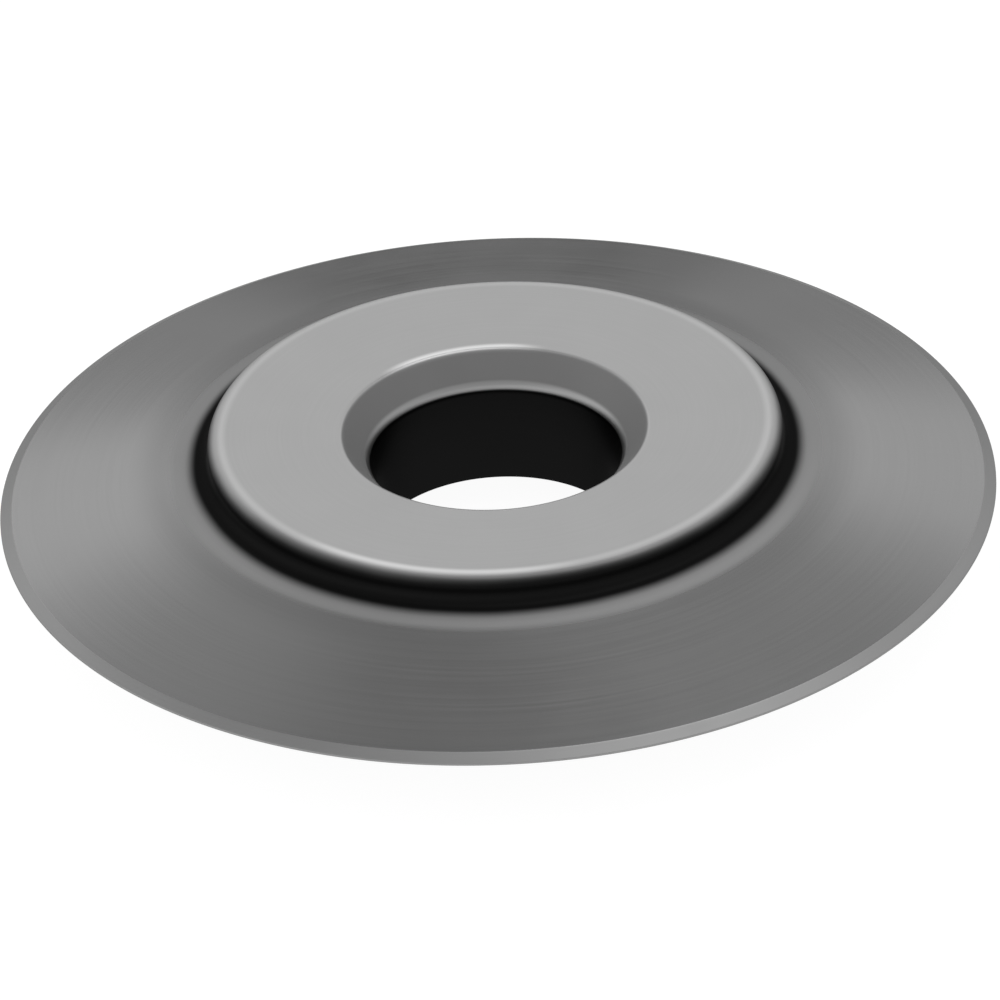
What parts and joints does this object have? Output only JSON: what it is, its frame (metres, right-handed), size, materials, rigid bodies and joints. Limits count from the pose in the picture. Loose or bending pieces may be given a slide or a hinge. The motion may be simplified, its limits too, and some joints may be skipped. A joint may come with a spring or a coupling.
{
  "type": "pipe cutter wheel",
  "caption": "Round steel pipe cutter wheel with a tapered blade, a bevelled cutting edge, a raised hub on each side and a countersunk bore for an axle pin.",
  "frame": {"origin": "middle of the bore, in the plane of the cutting edge", "axes": "+Z along the bore axis, which is the wheel's turning axis; the wheel is round about Z, and its two sides differ only in the mouths of the bore: the countersink faces +Z and the wide lead-in faces -Z"},
  "size_m": [0.019, 0.019, 0.0032],
  "materials": {
    "ground_steel": "satin ground steel on faces, flanks and bevels, with dark heat-treat oxide left in the bore and on the hub's side"
  },
  "bodies": {
    "root": {"cutter_wheel": "ground_steel"}
  },
  "joints": []
}
